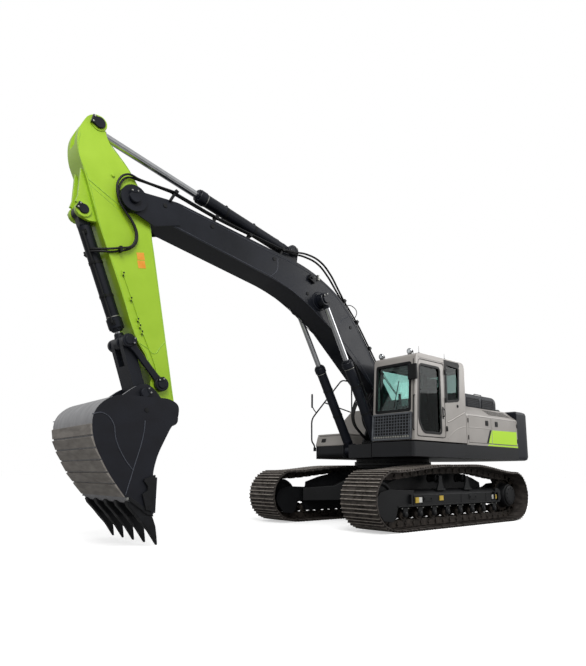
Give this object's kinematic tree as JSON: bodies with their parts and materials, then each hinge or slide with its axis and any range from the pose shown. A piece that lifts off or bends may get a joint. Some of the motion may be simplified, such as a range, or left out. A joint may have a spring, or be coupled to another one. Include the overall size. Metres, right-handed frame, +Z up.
{
  "type": "crawler excavator",
  "caption": "Tracked excavator with a slewing upper body, side cab, two-piece digging front and toothed bucket, all driven by hydraulic cylinders.",
  "frame": {"origin": "on the ground, under the middle of the machine's bounding box", "axes": "+X forwards, towards the bucket; +Y to the machine's left, where the cab is; +Z up"},
  "size_m": [10.3709, 3.39, 5.9895],
  "materials": {
    "charcoal_paint": "dark charcoal gloss paint over steel",
    "frame_paint": "black-grey paint, slightly dusty",
    "lime_paint": "bright lime green gloss paint",
    "silver_paint": "warm silver grey gloss paint",
    "track_steel": "bare brown steel, worn bright on the grouser tips",
    "rod_chrome": "hard chromed piston rods",
    "cab_glass": "green tinted safety glass",
    "black_trim": "black moulded plastic and powder coat",
    "seat_fabric": "dark woven seat cover"
  },
  "bodies": {
    "undercarriage": {"center_frame": "frame_paint", "slew_ring": "frame_paint", "left_track_frame": "frame_paint", "left_track": "track_steel", "left_idler": "frame_paint", "left_sprocket": "frame_paint", "right_track_frame": "frame_paint", "right_track": "track_steel", "right_idler": "frame_paint", "right_sprocket": "frame_paint"},
    "house": {"deck_frame": "charcoal_paint", "counterweight": "charcoal_paint", "left_body": "silver_paint", "right_body": "silver_paint", "fuel_tank": "silver_paint", "hydraulic_tank": "silver_paint", "fire_wall": "charcoal_paint", "engine_block": "frame_paint", "tool_box": "silver_paint", "right_handrail": "black_trim", "exhaust_pipe": "black_trim", "cab_shell": "silver_paint", "quarter_glass": "cab_glass", "windscreen": "cab_glass", "right_glass": "cab_glass", "rear_glass": "cab_glass", "windscreen_guard": "black_trim", "operator_seat": "seat_fabric", "control_console": "black_trim", "cab_mirror": "black_trim"},
    "cab_door": {"cab_door": "silver_paint", "door_glass": "cab_glass"},
    "left_front_door": {"left_front_door": "silver_paint"},
    "left_rear_door": {"left_rear_door": "silver_paint"},
    "right_side_door": {"right_side_door": "silver_paint"},
    "engine_hood": {"engine_hood": "charcoal_paint"},
    "tool_box_lid": {"tool_box_lid": "silver_paint"},
    "boom": {"boom": "charcoal_paint"},
    "arm": {"arm": "lime_paint"},
    "bucket": {"bucket": "charcoal_paint"},
    "side_link": {"side_link": "charcoal_paint"},
    "h_link": {"h_link": "charcoal_paint"},
    "boom_cylinders": {"left_boom_cylinder": "charcoal_paint", "right_boom_cylinder": "charcoal_paint"},
    "boom_rods": {"left_boom_cylinder_rod": "rod_chrome", "right_boom_cylinder_rod": "rod_chrome"},
    "arm_cylinder": {"arm_cylinder": "charcoal_paint"},
    "arm_rod": {"arm_cylinder_rod": "rod_chrome"},
    "bucket_cylinder": {"bucket_cylinder": "charcoal_paint"},
    "bucket_rod": {"bucket_cylinder_rod": "rod_chrome"}
  },
  "joints": [
    {"name": "slew", "type": "hinge", "parent": "undercarriage", "child": "house", "pos_m": [-1.7352, 0, 1.255], "axis": [0, 0, 1], "continuous": true},
    {"name": "boom_lift", "type": "hinge", "parent": "house", "child": "boom", "pos_m": [-1.5552, 0, 1.95], "axis": [0, -1, 0], "range_deg": [-69, 33]},
    {"name": "arm_swing", "type": "hinge", "parent": "boom", "child": "arm", "pos_m": [4.3648, 0, 4.87], "axis": [0, 1, 0], "range_deg": [-84, 13]},
    {"name": "bucket_curl", "type": "hinge", "parent": "arm", "child": "bucket", "pos_m": [3.6248, 0, 1.735], "axis": [0, 1, 0], "range_deg": [-3, 150]},
    {"name": "side_link_swing", "type": "hinge", "parent": "arm", "child": "side_link", "pos_m": [3.75131, 0, 2.20568], "axis": [0, 1, 0], "range_deg": [-3, 112]},
    {"name": "h_link_swing", "type": "hinge", "parent": "bucket", "child": "h_link", "pos_m": [4.0248, 0, 2.045], "axis": [0, 1, 0], "range_deg": [-106, 3]},
    {"name": "boom_cylinder_swing", "type": "hinge", "parent": "house", "child": "boom_cylinders", "pos_m": [-0.8652, 0, 1.42], "axis": [0, -1, 0], "range_deg": [-73, 36]},
    {"name": "boom_rod_slide", "type": "slide", "parent": "boom_cylinders", "child": "boom_rods", "axis": [0.4838, 0, 0.8752], "range_m": [-0.9, 0.45]},
    {"name": "arm_cylinder_swing", "type": "hinge", "parent": "boom", "child": "arm_cylinder", "pos_m": [1.19624, 0, 5.02985], "axis": [0, 1, 0], "range_deg": [-5, 2]},
    {"name": "arm_rod_slide", "type": "slide", "parent": "arm_cylinder", "child": "arm_rod", "axis": [0.9755, 0, 0.2202], "range_m": [-1.54, 0.26]},
    {"name": "bucket_cylinder_swing", "type": "hinge", "parent": "arm", "child": "bucket_cylinder", "pos_m": [5.00473, 0, 4.534], "axis": [0, -1, 0], "range_deg": [-1, 11]},
    {"name": "bucket_rod_slide", "type": "slide", "parent": "bucket_cylinder", "child": "bucket_rod", "axis": [-0.3801, 0, -0.925], "range_m": [-0.04, 1.27]},
    {"name": "cab_door_swing", "type": "hinge", "parent": "house", "child": "cab_door", "pos_m": [-1.5312, 1.516, 2.3], "axis": [0, 0, 1], "range_deg": [0, 160]},
    {"name": "left_front_door_swing", "type": "hinge", "parent": "house", "child": "left_front_door", "pos_m": [-2.3232, 1.496, 1.85], "axis": [0, 0, 1], "range_deg": [-85, 0]},
    {"name": "left_rear_door_swing", "type": "hinge", "parent": "house", "child": "left_rear_door", "pos_m": [-4.2972, 1.496, 1.85], "axis": [0, 0, 1], "range_deg": [0, 95]},
    {"name": "right_side_door_swing", "type": "hinge", "parent": "house", "child": "right_side_door", "pos_m": [-4.2972, -1.496, 1.85], "axis": [0, 0, -1], "range_deg": [0, 95]},
    {"name": "engine_hood_lift", "type": "hinge", "parent": "house", "child": "engine_hood", "pos_m": [-2.7592, 0, 2.372], "axis": [0, 1, 0], "range_deg": [0, 55]},
    {"name": "tool_box_lid_lift", "type": "hinge", "parent": "house", "child": "tool_box_lid", "pos_m": [-1.7122, -1.05, 1.804], "axis": [0, -1, 0], "range_deg": [0, 60]}
  ],
  "couplings": [
    {"joint": "side_link_swing", "follows": "bucket_curl", "ratio": 0.74},
    {"joint": "h_link_swing", "follows": "bucket_curl", "ratio": -0.7},
    {"joint": "boom_cylinder_swing", "follows": "boom_lift", "ratio": 1.0464},
    {"joint": "boom_rod_slide", "follows": "boom_lift", "m_per_rad": 0.7298},
    {"joint": "arm_cylinder_swing", "follows": "arm_swing", "ratio": 0.0487},
    {"joint": "arm_rod_slide", "follows": "arm_swing", "m_per_rad": 1.0349},
    {"joint": "bucket_cylinder_swing", "follows": "bucket_curl", "ratio": 0.07},
    {"joint": "bucket_rod_slide", "follows": "bucket_curl", "m_per_rad": 0.475}
  ]
}
